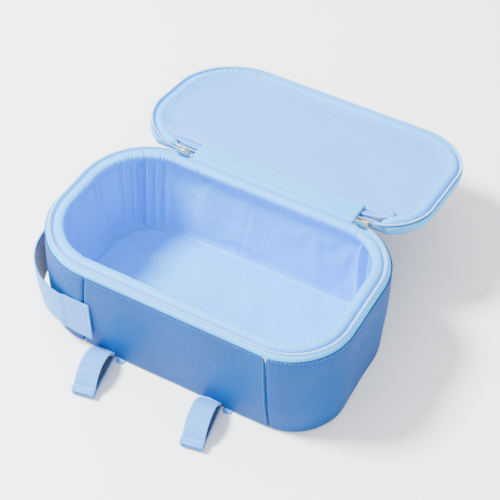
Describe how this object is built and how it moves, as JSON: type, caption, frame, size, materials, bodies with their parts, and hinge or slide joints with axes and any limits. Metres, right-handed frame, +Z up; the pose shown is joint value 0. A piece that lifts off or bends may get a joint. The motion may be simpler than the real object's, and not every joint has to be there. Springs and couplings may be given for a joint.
{
  "type": "soft lunch box",
  "caption": "Soft insulated lunch box with a zip-round hinged lid, padded rim rolls, a webbing handle round one end and hook-and-loop straps under the front edge.",
  "frame": {"origin": "centre of the base, on the surface it stands on", "axes": "+X along the bag away from the handle, +Y to the back where the lid is hinged, +Z up"},
  "size_m": [0.264, 0.3215, 0.0942],
  "materials": {
    "outer_fabric": "woven polyester, mid blue, slight sheen",
    "lining_sheet": "wipe-clean coated lining, light blue, satin",
    "light_blue_tape": "light blue zipper tape and hinge fabric",
    "light_blue_webbing": "light blue ribbed webbing",
    "foam": "closed-cell insulating foam, matt",
    "navy_hook_and_loop": "navy hook-and-loop tape",
    "zipper_coil": "light blue nylon coil",
    "slider_metal": "die-cast zinc, nickel plated"
  },
  "bodies": {
    "tub": {"front_panel": "outer_fabric", "back_panel": "outer_fabric", "left_end_panel": "outer_fabric", "right_end_panel": "outer_fabric", "base_panel": "outer_fabric", "base_foam": "foam", "wall_foam": "foam", "lining_wall": "lining_sheet", "lining_base": "lining_sheet", "rim_roll": "lining_sheet", "body_zipper_tape": "light_blue_tape", "body_zipper_coil": "zipper_coil", "zipper_stops": "slider_metal", "hinge_gusset_body": "light_blue_tape", "handle_anchor_front": "light_blue_webbing", "handle_anchor_back": "light_blue_webbing", "strap_left_anchor": "light_blue_webbing", "strap_left_tab": "light_blue_webbing", "strap_right_anchor": "light_blue_webbing", "strap_right_tab": "light_blue_webbing"},
    "lid": {"lid_outer_panel": "outer_fabric", "lid_foam": "foam", "lid_lining": "lining_sheet", "lid_side_band": "light_blue_tape", "lid_zipper_tape": "light_blue_tape", "lid_zipper_coil": "zipper_coil", "lid_border_roll": "lining_sheet", "hinge_gusset_lid": "light_blue_tape"},
    "left_slider": {"slider_left": "slider_metal"},
    "left_pull": {"pull_left": "slider_metal"},
    "right_slider": {"slider_right": "slider_metal"},
    "right_pull": {"pull_right": "slider_metal"},
    "handle": {"handle_webbing": "light_blue_webbing", "handle_backing": "navy_hook_and_loop"},
    "left_strap": {"strap_left_grip_tape": "navy_hook_and_loop", "strap_left_lower_webbing": "light_blue_webbing", "strap_left_loop_tape": "navy_hook_and_loop", "strap_left_root_hook_tape": "navy_hook_and_loop", "strap_left_root_webbing": "light_blue_webbing"},
    "left_flap": {"strap_left_flap_hook_tape": "navy_hook_and_loop", "strap_left_flap_webbing": "light_blue_webbing", "strap_left_hem": "light_blue_webbing"},
    "right_strap": {"strap_right_grip_tape": "navy_hook_and_loop", "strap_right_lower_webbing": "light_blue_webbing", "strap_right_loop_tape": "navy_hook_and_loop", "strap_right_root_hook_tape": "navy_hook_and_loop", "strap_right_root_webbing": "light_blue_webbing"},
    "right_flap": {"strap_right_flap_hook_tape": "navy_hook_and_loop", "strap_right_flap_webbing": "light_blue_webbing", "strap_right_hem": "light_blue_webbing"}
  },
  "joints": [
    {"name": "lid_hinge", "type": "hinge", "parent": "tub", "child": "lid", "pos_m": [0, 0.07, 0.091], "axis": [1, 0, 0], "range_deg": [0, 188]},
    {"name": "left_slider_travel", "type": "hinge", "parent": "tub", "child": "left_slider", "pos_m": [-0.068, 0.014, 0.091], "axis": [0, 0, 1], "range_deg": [0, 90]},
    {"name": "right_slider_travel", "type": "hinge", "parent": "tub", "child": "right_slider", "pos_m": [0.078, 0.024, 0.091], "axis": [0, 0, -1], "range_deg": [0, 80]},
    {"name": "left_pull_swing", "type": "hinge", "parent": "left_slider", "child": "left_pull", "pos_m": [-0.068, 0.072, 0.091], "axis": [0, 0, -1], "range_deg": [0, 120]},
    {"name": "right_pull_swing", "type": "hinge", "parent": "right_slider", "child": "right_pull", "pos_m": [0.08633, 0.07127, 0.091], "axis": [0, 0, 1], "range_deg": [0, 120]},
    {"name": "handle_swing", "type": "hinge", "parent": "tub", "child": "handle", "pos_m": [-0.07, 0, 0.036], "axis": [0, 1, 0], "range_deg": [-13, 13]},
    {"name": "left_strap_lift", "type": "hinge", "parent": "tub", "child": "left_strap", "pos_m": [-0.05546, -0.07127, 0.0033], "axis": [-0.9816, -0.1908, 0], "range_deg": [0, 12]},
    {"name": "left_flap_peel", "type": "hinge", "parent": "left_strap", "child": "left_flap", "pos_m": [-0.05452, -0.07609, 0.01178], "axis": [-0.9816, -0.1908, 0], "range_deg": [0, 55]},
    {"name": "right_strap_lift", "type": "hinge", "parent": "tub", "child": "right_strap", "pos_m": [0.03804, -0.07127, 0.0033], "axis": [-0.9816, -0.1908, 0], "range_deg": [0, 12]},
    {"name": "right_flap_peel", "type": "hinge", "parent": "right_strap", "child": "right_flap", "pos_m": [0.03898, -0.07609, 0.01178], "axis": [-0.9816, -0.1908, 0], "range_deg": [0, 55]}
  ]
}
